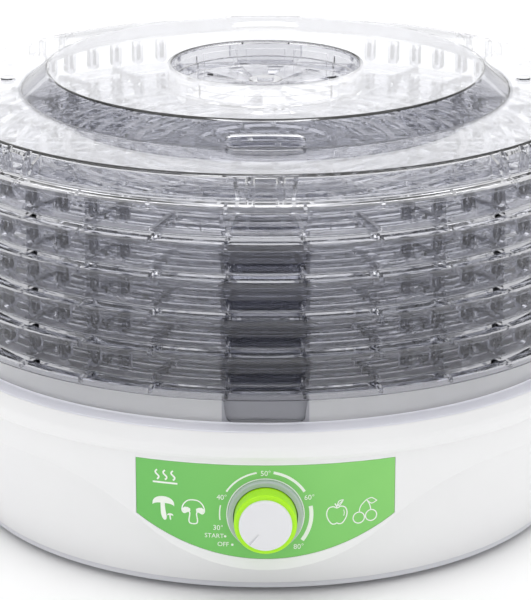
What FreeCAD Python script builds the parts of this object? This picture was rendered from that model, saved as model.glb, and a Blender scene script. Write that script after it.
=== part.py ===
import FreeCAD, Part
import math
import os
from FreeCAD import Vector

# Round stacking food dehydrator: white base with fan and heater, five clear trays and a clear lid.
# Millimetres, +Z up. The origin is on the floor, on the upright axis. The front faces -Y.
# An angle is measured from the front, and is positive towards +X.

# ---- driving sizes -----------------------------------------------------------------------------
SKIRT_RADIUS = 162.0        # outside of every tray's skirt
TRAY_PITCH = 16.6           # height that each tray adds to the stack
TRAY_COUNT = 5
TRAY_WALL = 1.6
SKIRT_HEIGHT = 2.2
SHOULDER_HEIGHT = 2.8       # the slope from the skirt up to the wall
SHOULDER_STEP = 4.6         # how far the wall stands in from the skirt
WALL_DRAFT = 0.8            # the wall leans in by this much over its height
SEAT_GAP = 0.2              # upright gap between stacked pieces
SIDE_GAP = 0.4              # sideways gap between stacked pieces

FLOOR_BOTTOM = 2.4          # underside of a tray's floor, above the skirt's edge
FLOOR_THICKNESS = 2.0
CHIMNEY_RADIUS = 32.0       # open middle of a tray
CHIMNEY_HEIGHT = 5.0
SPOKES = 30
SPOKE_WIDTH = 2.4
SLOT_WIDTH = 7.6
SLOT_PITCH = 11.0
FIRST_SLOT = 40.0
RIB_HEIGHT = 2.0            # radial ribs that stand on the floor near the wall
RIB_INNER = 130.0
GUSSET_WIDTH = 1.4

POCKET_TOP_HALF = 18.8      # grip pocket, half its width at the top
POCKET_FOOT_HALF = 16.8
POCKET_DEPTH = 6.0
POCKET_CORNER = 3.0
POCKET_LIFT = 1.0           # the pocket starts this far above the shoulder

BAR_WIDTH = 5.0             # hollow upright bars inside the wall
BAR_DEPTH = 3.4
BAR_HOLLOW = 2.2
FRONT_BARS = (23.0, 28.6, 34.3, 40.7, 46.8, 52.6)
REAR_BARS = (20.6, 25.4, 30.0, 35.0, 40.3, 44.8)

FOOT_HEIGHT = 2.6
PLATE_RADIUS = 142.0
PLATE_THICKNESS = 2.8
SHELL_WALL = 2.5
SHELL_FOOT_RADIUS = 143.0
DRUM_RADIUS = 159.0
BAND_STEP = 1.6             # the smooth band stands out from the drum by this much
BAND_BOTTOM = 70.0
LEDGE_OUTER = 158.2         # sloping ledge of the deck ring
LEDGE_INNER = 153.4
LEDGE_LOW = 82.0
LEDGE_HIGH = 84.0
FLANGE_INNER = 62.0         # edge of the air hole in the shell's closed top
RING_TOP = 99.6             # top of the deck ring's wall

APRON_LOW = 18.2            # lowest point of the front apron
APRON_HIGH = 57.3           # height of the drum's lower edge away from the front
APRON_ARC = 85.0            # both arcs of the S-shaped edge

PANEL_HALF = 56.3
PANEL_TOP = 67.0
PANEL_CORNER = 41.0         # height where the panel's sides end
PANEL_LOW = 23.4
PANEL_RECESS = 1.0
PANEL_THICKNESS = 0.9

KNOB_HEIGHT = 44.0
KNOB_RADIUS = 13.6
CAP_RADIUS = 11.45
KNOB_REACH = 13.0           # from the drum to the knob's face
DIAL_RADIUS = 16.3
OFF_ANGLE = 230.0           # pointer direction at off, anticlockwise from +X seen from the front

LID_WALL = 2.0
LID_FLANGE = 13.8           # height of the flange's rim above the lid's skirt edge
LID_FLANGE_INNER = 15.0
LID_FLANGE_RADIUS = 151.0
DISC_FOOT_RADIUS = 113.7
DISC_RADIUS = 102.0
DISC_HEIGHT = 25.1
DISC_CROWN = 0.9            # the disc rises by this much towards the vent
VENT_RADIUS = 43.8
VENT_FLOOR = 13.0
VENT_WINDOWS = 12           # recesses in the cup's wall, and vents in its floor
VENT_RIB = 4.4
VENT_RECESS = 1.0
WINDOW_LOW = 15.6
WINDOW_HIGH = 22.0
VENT_INNER = 13.0           # the floor's vents run from here
VENT_OUTER = 38.0           # to here
VENT_COVER = 1.2            # how far the damper covers each side of a vent when it is shut
PIN_RADIUS = 4.0
PIN_HEIGHT = 6.0
DAMPER_WALL = 1.6
DAMPER_GAP = 0.5
DAMPER_RIM = 4.0            # height of the damper's rim
TAB_WIDTH = 17.6
TAB_THICKNESS = 3.0
BRACKETS = 8                # locating brackets under the lid's flange

RUNNING_FIT = 0.08
FIXED_FIT = 0.03
SCREW_RADIUS = 1.5
SCREW_HEAD = 3.5
SCREW_HEAD_HEIGHT = 1.6
SCREW_FIT = 0.05

OUTLET_RADIUS = 60.0
FAN_RADIUS = 54.0
FAN_BLADES = 7
FAN_LOW = 57.0
FAN_HEIGHT = 11.0
SHAFT_RADIUS = 2.45
ROTOR_RADIUS = 14.6
AIR_GAP = 0.4
STATOR_LOW = 26.0
STATOR_HEIGHT = 20.0
STATOR_HALF = 30.0
STATOR_FRONT = 28.0
STATOR_REAR = 46.0
MOTOR_SCREW_X = 23.0
SPACER_HEIGHT = 3.5
BRACKET_SHEET = 1.5
SHIELD_RADIUS = 59.0
SHIELD_SHEET = 1.2
SHIELD_LOW = 52.0
SHIELD_FLANGE = 12.0
MICA = 1.0
COIL_RADII = (30.0, 40.0, 50.0)
COIL_WIRE = 1.4

HEATER_HEIGHT = 9.0
HEATER_LIFT = 3.4           # from the top of the fan to the mica
BRACKET_SCREW_X = 20.0      # thermostat bracket's screws, from the middle line
BRACKET_SETBACK = 3.0       # thermostat bracket, behind the inside of the drum
BUSH_RADIUS = 4.8
BUSH_GAP = 0.3
BUSH_REACH = 2.9            # from the drum to the bush's front
GLAND_RADIUS = 6.0
GLAND_HEIGHT = 40.0

AXIS = Vector(0, 0, 1)
CENTRE = Vector(0, 0, 0)

# ---- sizes worked out from the driving ones -----------------------------------------------------
WALL_FOOT_RADIUS = SKIRT_RADIUS - SHOULDER_STEP
WALL_TOP_RADIUS = WALL_FOOT_RADIUS - WALL_DRAFT
SHOULDER_TOP = SKIRT_HEIGHT + SHOULDER_HEIGHT
WALL_TOP = TRAY_PITCH + FLOOR_BOTTOM - SEAT_GAP
FLOOR_TOP = FLOOR_BOTTOM + FLOOR_THICKNESS
POCKET_FOOT = SHOULDER_TOP + POCKET_LIFT
FIRST_SEAM = RING_TOP + SEAT_GAP - FLOOR_BOTTOM
LID_SEAM = FIRST_SEAM + TRAY_PITCH * TRAY_COUNT
SHELL_LOW = FOOT_HEIGHT + PLATE_THICKNESS
DECK_BOTTOM = LEDGE_LOW + 0.6
DECK_TOP = DECK_BOTTOM + 2.0
FLANGE_TOP = DECK_BOTTOM - SEAT_GAP
FLANGE_BOTTOM = FLANGE_TOP - SHELL_WALL
PANEL_FLOOR = DRUM_RADIUS - PANEL_RECESS
PANEL_FACE = PANEL_FLOOR + PANEL_THICKNESS
STATOR_TOP = STATOR_LOW + STATOR_HEIGHT
BRACKET_LOW = STATOR_LOW - SPACER_HEIGHT - BRACKET_SHEET
BRACKET_HIGH = STATOR_TOP + SPACER_HEIGHT
DECK_SCREW_RADIUS = 142.0
DECK_SCREW_ANGLES = (47.0, 133.0, 227.0, 313.0)
BOSS_RADIUS = 130.0
FOOT_CIRCLE = 116.0
CORNER_ANGLES = (45.0, 135.0, 225.0, 315.0)
SHIELD_POST_RADIUS = SHIELD_RADIUS + SHIELD_FLANGE / 2 + 1.0
SHIELD_POST_ANGLES = (60.0, 180.0, 300.0)
BRACKET_FRONT = -(DRUM_RADIUS - SHELL_WALL - BRACKET_SETBACK)
BUSH_FRONT = -(DRUM_RADIUS + BUSH_REACH)
HEATER_LOW = FAN_LOW + FAN_HEIGHT + HEATER_LIFT


# ---- shared geometry ----------------------------------------------------------------------------
def at_angle(radius, degrees, height=0.0):
    """Point at a radius and at an angle from the front."""
    turn = math.radians(degrees)
    return Vector(radius * math.sin(turn), -radius * math.cos(turn), height)


def outline(corners, place):
    """Closed wire through corners (a, b, radius); a corner with a radius is rounded by an arc.

    place turns (a, b) into a point in space. The tangent points lie radius / tan(half) from the
    corner, where half is half the angle between the two edges.
    """
    points = [place(corner[0], corner[1]) for corner in corners]
    edges = []
    ends = []
    for index, corner in enumerate(corners):
        here = points[index]
        if len(corner) == 2:
            ends.append((here, here))
            continue
        back = (points[index - 1] - here).normalize()
        ahead = (points[(index + 1) % len(points)] - here).normalize()
        half = back.getAngle(ahead) / 2
        reach = corner[2] / math.tan(half)
        start = here + back * reach
        end = here + ahead * reach
        middle = here + (back + ahead).normalize() * (corner[2] / math.sin(half) - corner[2])
        edges.append(Part.Arc(start, middle, end).toShape())
        ends.append((start, end))
    for index in range(len(points)):
        start = ends[index][1]
        end = ends[(index + 1) % len(points)][0]
        if start.distanceToPoint(end) > 1e-6:
            edges.append(Part.makeLine(start, end))
    return Part.Wire(Part.__sortEdges__(edges))


def turned(corners):
    """Solid of revolution about Z of an outline of (radius, height) corners."""
    wire = outline(corners, lambda radius, height: Vector(radius, 0, height))
    return Part.Face(wire).revolve(CENTRE, AXIS, 360)


def tube(inner, outer, bottom, top):
    """Upright ring with square edges."""
    return turned([(inner, bottom), (outer, bottom), (outer, top), (inner, top)])


def post(radius, bottom, top, x=0.0, y=0.0):
    """Upright cylinder."""
    return Part.makeCylinder(radius, top - bottom, Vector(x, y, bottom), AXIS)


def block(x_low, x_high, y_low, y_high, bottom, top):
    """Box between six planes."""
    return Part.makeBox(x_high - x_low, y_high - y_low, top - bottom, Vector(x_low, y_low, bottom))


def barrel(radius, front, back, height, x=0.0):
    """Cylinder along Y from front to back."""
    return Part.makeCylinder(radius, back - front, Vector(x, front, height), Vector(0, 1, 0))


def spun(shape, degrees):
    """Copy of a shape turned about the upright axis; the front turns towards +X."""
    copy = shape.copy()
    copy.rotate(CENTRE, AXIS, degrees)
    return copy


def raised(shape, height):
    """Copy of a shape lifted by a height."""
    copy = shape.copy()
    copy.translate(Vector(0, 0, height))
    return copy


def front_prism(corners, front, back):
    """Prism along Y of an outline of (x, z) corners."""
    wire = outline(corners, lambda x, z: Vector(x, front, z))
    return Part.Face(wire).extrude(Vector(0, back - front, 0))


def sector(inner, outer, start, end, gap=0.0):
    """Wire of part of a ring at z = 0, drawn back from its two side angles by half a gap."""
    lean_in = math.degrees(math.asin(gap / 2 / inner))
    lean_out = math.degrees(math.asin(gap / 2 / outer))
    middle = (start + end) / 2
    near_start = at_angle(inner, start + lean_in)
    near_end = at_angle(inner, end - lean_in)
    far_start = at_angle(outer, start + lean_out)
    far_end = at_angle(outer, end - lean_out)
    return Part.Wire([
        Part.Arc(near_start, at_angle(inner, middle), near_end).toShape(),
        Part.makeLine(near_end, far_end),
        Part.Arc(far_end, at_angle(outer, middle), far_start).toShape(),
        Part.makeLine(far_start, near_start)])


def circle(radius, centre=CENTRE):
    """Round wire in the XY plane."""
    return Part.Wire(Part.makeCircle(radius, centre, AXIS))


def pierced_disc(outer, holes, bottom, thickness):
    """Flat disc with the given wires, drawn at z = 0, as through holes."""
    face = Part.Face([circle(outer)] + holes, "Part::FaceMakerBullseye")
    return raised(face.extrude(Vector(0, 0, thickness)), bottom)


def merged(solid, extras):
    """One solid made of a solid and what joins it."""
    return solid.fuse(extras).removeSplitter()


def save(name, shape):
    """Write one node."""
    shape.exportStep("parts/" + name + ".step")


# ---- trays --------------------------------------------------------------------------------------
def slot_wires(limit):
    """Concentric slots of a tray's floor, out to a limit, between the spokes."""
    wires = []
    inner = FIRST_SLOT
    step = 360.0 / SPOKES
    while inner + SLOT_WIDTH <= limit:
        join = 1 if inner > CHIMNEY_RADIUS * 2 else 2
        for index in range(0, SPOKES, join):
            start = step * (index + 0.5)
            wires.append(sector(inner, inner + SLOT_WIDTH, start, start + step * join, SPOKE_WIDTH))
        inner += SLOT_PITCH
    return wires


def tray_wall():
    """Skirt, shoulder, wall and the outer ring of the floor in one turned outline."""
    inner_foot = WALL_FOOT_RADIUS - TRAY_WALL
    skirt_inner = SKIRT_RADIUS - TRAY_WALL
    return turned([
        (SKIRT_RADIUS, 0), (SKIRT_RADIUS, SKIRT_HEIGHT, 0.6),
        (WALL_FOOT_RADIUS, SHOULDER_TOP, 1.0), (WALL_TOP_RADIUS, WALL_TOP, 0.4),
        (WALL_TOP_RADIUS - TRAY_WALL, WALL_TOP, 0.4), (inner_foot, FLOOR_TOP, 1.0),
        (inner_foot - 4, FLOOR_TOP), (inner_foot - 4, FLOOR_BOTTOM),
        (skirt_inner, FLOOR_BOTTOM), (skirt_inner, 0)])


def radial_bars(inner, outer, width, bottom, top):
    """Radial ribs in line with the floor's spokes."""
    rib = block(-width / 2, width / 2, -outer, -inner, bottom, top)
    step = 360.0 / SPOKES
    return [spun(rib, step * (index + 0.5)) for index in range(SPOKES)]


def pocket_outline(grow, top):
    """Corners of the grip pocket seen from the front, grown by a wall."""
    return [
        (-POCKET_TOP_HALF - grow, top), (-POCKET_FOOT_HALF - grow, POCKET_FOOT - grow, POCKET_CORNER),
        (POCKET_FOOT_HALF + grow, POCKET_FOOT - grow, POCKET_CORNER), (POCKET_TOP_HALF + grow, top)]


def pocket_pair(outer, grow, top, inside):
    """Front and rear prisms of the grip pockets, from a radius inwards."""
    depth = POCKET_DEPTH + grow
    prism = front_prism(pocket_outline(grow, top), -outer, -WALL_TOP_RADIUS + depth)
    if inside:
        prism = prism.common(post(inside, 0, WALL_TOP))
    return [prism, spun(prism, 180)]


def wall_bars():
    """Hollow upright bars inside the wall, at uneven angles that differ between front and rear."""
    back = WALL_FOOT_RADIUS - TRAY_WALL / 2
    inner = WALL_TOP_RADIUS - TRAY_WALL - BAR_DEPTH
    low = FLOOR_TOP + RIB_HEIGHT + 0.6
    half = BAR_WIDTH / 2
    bar = front_prism([
        (-half, WALL_TOP - 0.4), (-half, low, half * 0.9), (half, low, half * 0.9),
        (half, WALL_TOP - 0.4)], -back, -inner)
    middle = inner + BAR_DEPTH / 2
    bar = bar.cut(block(
        -BAR_HOLLOW / 2, BAR_HOLLOW / 2, -middle - BAR_HOLLOW / 2, -middle + BAR_HOLLOW / 2,
        low + 2.4, WALL_TOP))
    bar = bar.common(post(WALL_TOP_RADIUS - TRAY_WALL / 2, 0, WALL_TOP))
    angles = [side * angle for angle in FRONT_BARS for side in (-1, 1)]
    angles += [180 + side * angle for angle in REAR_BARS for side in (-1, 1)]
    return [spun(bar, angle) for angle in angles]


def tray():
    """One tray, with its skirt's edge at z = 0."""
    ring_inner = WALL_FOOT_RADIUS - TRAY_WALL - 4
    holes = [circle(CHIMNEY_RADIUS)] + slot_wires(ring_inner - 1)
    floor = pierced_disc(ring_inner, holes, FLOOR_BOTTOM, FLOOR_THICKNESS)
    chimney = tube(CHIMNEY_RADIUS, CHIMNEY_RADIUS + TRAY_WALL, FLOOR_BOTTOM, FLOOR_TOP + CHIMNEY_HEIGHT)
    wall_inside = WALL_FOOT_RADIUS - TRAY_WALL / 2
    extras = [chimney]
    extras += radial_bars(RIB_INNER, wall_inside, SPOKE_WIDTH - 0.4, FLOOR_TOP, FLOOR_TOP + RIB_HEIGHT)
    extras += radial_bars(
        WALL_TOP_RADIUS + SIDE_GAP, SKIRT_RADIUS - TRAY_WALL / 2, GUSSET_WIDTH, 0.4, FLOOR_BOTTOM)
    extras += wall_bars()
    extras += pocket_pair(WALL_FOOT_RADIUS, TRAY_WALL, WALL_TOP, WALL_TOP_RADIUS - TRAY_WALL / 2)
    body = tray_wall().fuse([floor] + extras)
    return body.cut(pocket_pair(SKIRT_RADIUS + 1, 0, WALL_TOP + 1, None)).removeSplitter()


# ---- lid and vent -------------------------------------------------------------------------------
def sector_cuts(inner, outer, low, high, share, gap):
    """One ring sector for each window, each taking a share of its step, to be cut from a body."""
    step = 360.0 / VENT_WINDOWS
    cuts = []
    for index in range(VENT_WINDOWS):
        start = step * (index - 0.5)
        wire = sector(inner, outer, start, start + step * share, gap)
        cuts.append(raised(Part.Face(wire).extrude(Vector(0, 0, high - low)), low))
    return cuts


def floor_vents(low, high):
    """Vents in a flat floor; each takes half a step, so that half a step's turn shuts them."""
    return sector_cuts(VENT_INNER, VENT_OUTER, low, high, 0.5, VENT_COVER * 2)


def disc_slot():
    """Round-ended slot square to the sloping wall of the raised disc, at the front."""
    run = DISC_FOOT_RADIUS - DISC_RADIUS
    rise = DISC_HEIGHT - LID_FLANGE_INNER
    slope = math.hypot(run, rise)
    half_length = 17.5
    half_height = slope * 0.23
    slot = front_prism([
        (-half_length, -half_height, half_height * 0.95), (half_length, -half_height, half_height * 0.95),
        (half_length, half_height, half_height * 0.95), (-half_length, half_height, half_height * 0.95)],
        -4, 4)
    slot.rotate(CENTRE, Vector(1, 0, 0), -math.degrees(math.atan2(run, rise)))
    share = 0.3
    slot.translate(at_angle(DISC_FOOT_RADIUS - run * share, 0, LID_FLANGE_INNER + rise * share))
    return slot


def bracket():
    """Locating bracket under the flange: two hollow legs, a web and two slanting ribs."""
    low = 2.4
    high = LID_FLANGE - 0.6
    radius = WALL_TOP_RADIUS - LID_WALL - 3.4
    pieces = []
    for side in (-1, 1):
        leg = post(2.2, low, high, side * 6.4, -radius)
        pieces.append(leg.cut(post(1.1, low, high - 3, side * 6.4, -radius)))
        rib = block(side * 11.5 - 0.8, side * 11.5 + 0.8, -radius - 4, -radius + 2, low + 1, high - 1)
        rib.rotate(Vector(side * 11.5, -radius, low), Vector(0, 1, 0), side * 8)
        pieces.append(rib)
    pieces.append(block(-6.4, 6.4, -radius - 0.7, -radius + 0.7, low + 4, high))
    return pieces


def lid_shell():
    """The lid's turned body with the vent cup in its middle, from the skirt's edge at z = 0."""
    crown = DISC_HEIGHT + DISC_CROWN
    cup_outer = VENT_RADIUS + LID_WALL
    foot_inner = DISC_FOOT_RADIUS - LID_WALL * 0.55
    disc_inner = DISC_RADIUS - LID_WALL * 0.55
    seat_inner = WALL_TOP_RADIUS - TRAY_WALL - 2.4
    return turned([
        (0, VENT_FLOOR), (VENT_RADIUS, VENT_FLOOR, 1.2), (VENT_RADIUS, crown, 0.9),
        (DISC_RADIUS, DISC_HEIGHT, 1.6), (DISC_FOOT_RADIUS, LID_FLANGE_INNER, 1.2),
        (LID_FLANGE_RADIUS, LID_FLANGE, 3.4), (WALL_FOOT_RADIUS - 1.2, 9.4, 3.4),
        (WALL_FOOT_RADIUS + 0.6, 4.0, 1.2), (SKIRT_RADIUS, 1.8, 0.5), (SKIRT_RADIUS, 0),
        (SKIRT_RADIUS - TRAY_WALL, 0), (SKIRT_RADIUS - TRAY_WALL, FLOOR_BOTTOM),
        (seat_inner, FLOOR_BOTTOM), (seat_inner, FLOOR_BOTTOM + 1.6),
        (WALL_FOOT_RADIUS - 1.8, FLOOR_BOTTOM + 1.6), (WALL_FOOT_RADIUS - 3.2, 8.6, 2.0),
        (LID_FLANGE_RADIUS - 0.8, LID_FLANGE - LID_WALL, 2.0),
        (foot_inner, LID_FLANGE_INNER - LID_WALL), (disc_inner, DISC_HEIGHT - LID_WALL),
        (cup_outer, crown - LID_WALL), (cup_outer, VENT_FLOOR - LID_WALL), (0, VENT_FLOOR - LID_WALL)])


def lid():
    """The lid, with its skirt's edge at z = 0."""
    body = lid_shell()
    pieces = radial_bars(
        WALL_TOP_RADIUS + SIDE_GAP, SKIRT_RADIUS - TRAY_WALL / 2, GUSSET_WIDTH, 0.4, FLOOR_BOTTOM)
    for index in range(BRACKETS):
        pieces += [spun(piece, index * 360.0 / BRACKETS) for piece in bracket()]
    envelope = turned([
        (DISC_RADIUS, 0), (SKIRT_RADIUS - 0.5, 0), (SKIRT_RADIUS - 0.5, 1.6), (WALL_FOOT_RADIUS, 4.4),
        (WALL_FOOT_RADIUS - 2.2, 9.0), (LID_FLANGE_RADIUS - 1.0, LID_FLANGE - 1.0),
        (DISC_RADIUS, LID_FLANGE)])
    pieces = [piece.common(envelope) for piece in pieces]
    for side in (-1, 1):
        centre = at_angle(122.0, side * 96.0)
        pieces.append(post(3.5, LID_FLANGE_INNER - 1.6, LID_FLANGE_INNER + 0.5, centre.x, centre.y))
    pin = post(PIN_RADIUS, VENT_FLOOR - 1, VENT_FLOOR + PIN_HEIGHT)
    body = body.fuse(pieces + [pin])
    cuts = sector_cuts(VENT_RADIUS - 1, VENT_RADIUS + VENT_RECESS, WINDOW_LOW, WINDOW_HIGH, 1, VENT_RIB)
    cuts += floor_vents(VENT_FLOOR - LID_WALL - 1, VENT_FLOOR + 1)
    slot = disc_slot()
    return body.cut(cuts + [slot, spun(slot, 180)]).removeSplitter()


def vent_damper():
    """Turning disc in the vent cup, with vents, a rim, a finger tab and a hub on the cup's pin."""
    outer = VENT_RADIUS - DAMPER_GAP
    inner = outer - DAMPER_WALL
    low = VENT_FLOOR + 0.3
    floor_top = low + 1.6
    hub_inner = PIN_RADIUS + RUNNING_FIT
    hub_outer = PIN_RADIUS * 2
    hub_top = VENT_FLOOR + PIN_HEIGHT - 1
    disc = turned([
        (hub_inner, low), (outer, low), (outer, floor_top + DAMPER_RIM, 0.4),
        (inner, floor_top + DAMPER_RIM, 0.4), (inner, floor_top), (hub_outer, floor_top),
        (hub_outer, hub_top, 0.6), (hub_inner, hub_top)])
    tab_top = floor_top + DAMPER_RIM + 1.0
    tab_half = TAB_WIDTH / 2
    tab = front_prism([
        (-tab_half, floor_top - 0.4), (tab_half, floor_top - 0.4), (tab_half - 1.6, tab_top, 1.2),
        (1.6 - tab_half, tab_top, 1.2)], -inner - 0.4, -inner + TAB_THICKNESS)
    return disc.cut(floor_vents(low - 1, floor_top + 1)).fuse(tab).removeSplitter()


# ---- base ---------------------------------------------------------------------------------------
def bowl(inset, bottom):
    """Recessed lower body of the shell, drawn in by a wall thickness."""
    return turned([
        (0, bottom), (SHELL_FOOT_RADIUS - inset, bottom), (SHELL_FOOT_RADIUS + 8.5 - inset, 23.0, 60.0),
        (DRUM_RADIUS - 0.5 - inset, APRON_HIGH), (DRUM_RADIUS - inset, APRON_HIGH),
        (DRUM_RADIUS - inset, BAND_BOTTOM), (0, BAND_BOTTOM)])


def above_apron(inset):
    """Space above the S-shaped lower edge at the front, raised by a wall thickness.

    Two arcs of one radius meet halfway: the lower is centred on the middle line and the upper one's
    centre lies sideways by sqrt((2R)^2 - (2R - rise)^2).
    """
    rise = APRON_HIGH - APRON_LOW
    sideways = math.sqrt((2 * APRON_ARC) ** 2 - (2 * APRON_ARC - rise) ** 2)
    lower = Vector(0, 0, APRON_LOW + APRON_ARC + inset)
    meet = Vector(sideways / 2, 0, lower.z - (2 * APRON_ARC - rise) / 2)
    lean = math.atan2(sideways / 2, lower.z - meet.z)
    between = Vector(
        sideways - APRON_ARC * math.sin(lean / 2), 0,
        APRON_HIGH + inset - APRON_ARC + APRON_ARC * math.cos(lean / 2))
    end = Vector(sideways, 0, APRON_HIGH + inset)

    def flip(point):
        return Vector(-point.x, point.y, point.z)

    wide = SKIRT_RADIUS + 10
    top = BAND_BOTTOM
    corner = Vector(wide, 0, APRON_HIGH + inset)
    wire = Part.Wire([
        Part.Arc(flip(meet), Vector(0, 0, APRON_LOW + inset), meet).toShape(),
        Part.Arc(meet, between, end).toShape(),
        Part.makeLine(end, corner),
        Part.makeLine(corner, Vector(wide, 0, top)),
        Part.makeLine(Vector(wide, 0, top), Vector(-wide, 0, top)),
        Part.makeLine(Vector(-wide, 0, top), flip(corner)),
        Part.makeLine(flip(corner), flip(end)),
        Part.Arc(flip(end), flip(between), flip(meet)).toShape()])
    return Part.Face(wire).extrude(Vector(0, -wide, 0))


def panel_prism(gap):
    """Panel outline, straight on three sides and arched below, as a prism through the front wall."""
    half = PANEL_HALF - gap
    low = PANEL_LOW + gap
    corner_left = Vector(-half, 0, PANEL_CORNER + gap / 2)
    corner_right = Vector(half, 0, PANEL_CORNER + gap / 2)
    wire = Part.Wire([
        Part.Arc(corner_left, Vector(0, 0, low), corner_right).toShape(),
        Part.makeLine(corner_right, Vector(half, 0, PANEL_TOP - gap)),
        Part.makeLine(Vector(half, 0, PANEL_TOP - gap), Vector(-half, 0, PANEL_TOP - gap)),
        Part.makeLine(Vector(-half, 0, PANEL_TOP - gap), corner_left)])
    return Part.Face(wire).extrude(Vector(0, -DRUM_RADIUS - 10, 0))


def base_shell():
    """White shell: lower body, drum with apron, band and top flange, hollow inside."""
    drum = post(DRUM_RADIUS, APRON_LOW - 2, BAND_BOTTOM)
    apron = drum.common(above_apron(0))
    band = turned([
        (0, BAND_BOTTOM - 0.5), (DRUM_RADIUS + BAND_STEP * 0.6, BAND_BOTTOM - 0.5, 0.5),
        (DRUM_RADIUS + BAND_STEP, BAND_BOTTOM + 1.0, 1.0), (DRUM_RADIUS + BAND_STEP, BAND_BOTTOM + 5.0, 8.0),
        (LEDGE_OUTER + 0.3, LEDGE_LOW - 0.4), (LEDGE_OUTER + 0.2, LEDGE_LOW - 1.6),
        (LEDGE_OUTER - 4.0, FLANGE_TOP), (0, FLANGE_TOP)])
    body = bowl(0, SHELL_LOW).fuse([apron, band])
    hollow_drum = post(DRUM_RADIUS - SHELL_WALL, APRON_LOW, BAND_BOTTOM).common(above_apron(SHELL_WALL))
    hollow_band = post(DRUM_RADIUS - SHELL_WALL, APRON_HIGH + SHELL_WALL, FLANGE_BOTTOM)
    body = body.cut([bowl(SHELL_WALL, SHELL_LOW - 1), hollow_drum, hollow_band])
    body = body.cut(post(FLANGE_INNER, FLANGE_BOTTOM - 1, FLANGE_TOP + 1))
    recess = panel_prism(0).common(tube(PANEL_FLOOR, DRUM_RADIUS + 5, 0, BAND_BOTTOM))
    body = body.cut(recess)
    bosses = []
    holes = []
    for angle in CORNER_ANGLES:
        centre = at_angle(BOSS_RADIUS, angle)
        web = spun(block(-1.2, 1.2, -DRUM_RADIUS, -BOSS_RADIUS, SHELL_LOW + 1, 34), angle)
        bosses.append(post(4.5, SHELL_LOW, 36, centre.x, centre.y))
        bosses.append(web.common(bowl(SHELL_WALL / 2, SHELL_LOW)))
        holes.append(post(SCREW_RADIUS + SCREW_FIT, SHELL_LOW - 1, 24, centre.x, centre.y))
    for angle in DECK_SCREW_ANGLES:
        centre = at_angle(DECK_SCREW_RADIUS, angle)
        bosses.append(post(4.0, FLANGE_BOTTOM - 9, FLANGE_TOP, centre.x, centre.y))
        holes.append(post(SCREW_RADIUS + SCREW_FIT, FLANGE_BOTTOM - 8, FLANGE_TOP + 1, centre.x, centre.y))
    for side in (-1, 1):
        boss = barrel(3.6, -DRUM_RADIUS, BRACKET_FRONT, KNOB_HEIGHT, side * BRACKET_SCREW_X)
        bosses.append(boss.common(post(PANEL_FLOOR - 0.5, 0, BAND_BOTTOM)))
        holes.append(barrel(SCREW_RADIUS + SCREW_FIT, BRACKET_FRONT - 3.2, BRACKET_FRONT + 1, KNOB_HEIGHT,
                            side * BRACKET_SCREW_X))
    holes.append(barrel(BUSH_RADIUS + BUSH_GAP, -DRUM_RADIUS - 2, -DRUM_RADIUS + 8, KNOB_HEIGHT))
    holes.append(barrel(GLAND_RADIUS + FIXED_FIT, 130, DRUM_RADIUS + 2, GLAND_HEIGHT))
    return body.fuse(bosses).cut(holes).removeSplitter()


def bottom_plate():
    """Closing plate with air inlets, posts for the motor and the heat shield, and screw holes."""
    holes = []
    for index in range(5):
        inner = 36.0 + 9.0 * index
        for quarter in range(8):
            holes.append(sector(inner, inner + 5.0, quarter * 45.0, quarter * 45.0 + 45.0, 6.0))
    for angle in CORNER_ANGLES:
        holes.append(circle(SCREW_RADIUS + SCREW_FIT, at_angle(BOSS_RADIUS, angle)))
        holes.append(circle(2.5 + FIXED_FIT, at_angle(FOOT_CIRCLE, angle)))
    plate = pierced_disc(PLATE_RADIUS, holes, FOOT_HEIGHT, PLATE_THICKNESS)
    posts = []
    bores = []
    for side in (-1, 1):
        posts.append(post(5.0, FOOT_HEIGHT + 1, BRACKET_LOW, side * MOTOR_SCREW_X))
        bores.append(post(SCREW_RADIUS + SCREW_FIT, SHELL_LOW + 4, BRACKET_LOW + 1, side * MOTOR_SCREW_X))
    for angle in SHIELD_POST_ANGLES:
        pad = at_angle(SHIELD_POST_RADIUS, angle)
        posts.append(post(4.5, FOOT_HEIGHT + 1, SHIELD_LOW, pad.x, pad.y))
        bores.append(post(SCREW_RADIUS + SCREW_FIT, SHIELD_LOW - 12, SHIELD_LOW + 1, pad.x, pad.y))
    for angle in CORNER_ANGLES:
        centre = at_angle(BOSS_RADIUS, angle)
        bores.append(post(SCREW_HEAD + 0.3, FOOT_HEIGHT - 1, FOOT_HEIGHT + SCREW_HEAD_HEIGHT - 0.2,
                          centre.x, centre.y))
    return plate.fuse(posts).cut(bores).removeSplitter()


def screws(places, head_top, tip, upward):
    """Pan-head screws at (x, y) places; the head's bearing face is at head_top."""
    solids = []
    for x, y in places:
        if upward:
            head = post(SCREW_HEAD, head_top - SCREW_HEAD_HEIGHT, head_top, x, y)
            shank = post(SCREW_RADIUS, head_top, tip, x, y)
        else:
            head = post(SCREW_HEAD, head_top, head_top + SCREW_HEAD_HEIGHT, x, y)
            shank = post(SCREW_RADIUS, tip, head_top, x, y)
        solids.append(head.fuse(shank).removeSplitter())
    return Part.makeCompound(solids)


def ring_places(radius, angles):
    """(x, y) pairs on a circle."""
    return [(at_angle(radius, angle).x, at_angle(radius, angle).y) for angle in angles]


def rubber_feet():
    """Four soft feet with stems through the bottom plate."""
    feet = []
    for x, y in ring_places(FOOT_CIRCLE, CORNER_ANGLES):
        pad = Part.makeCone(8.0, 9.0, FOOT_HEIGHT, Vector(x, y, 0), AXIS)
        feet.append(pad.fuse(post(2.5, FOOT_HEIGHT, SHELL_LOW + 2.0, x, y)).removeSplitter())
    return Part.makeCompound(feet)


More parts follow.
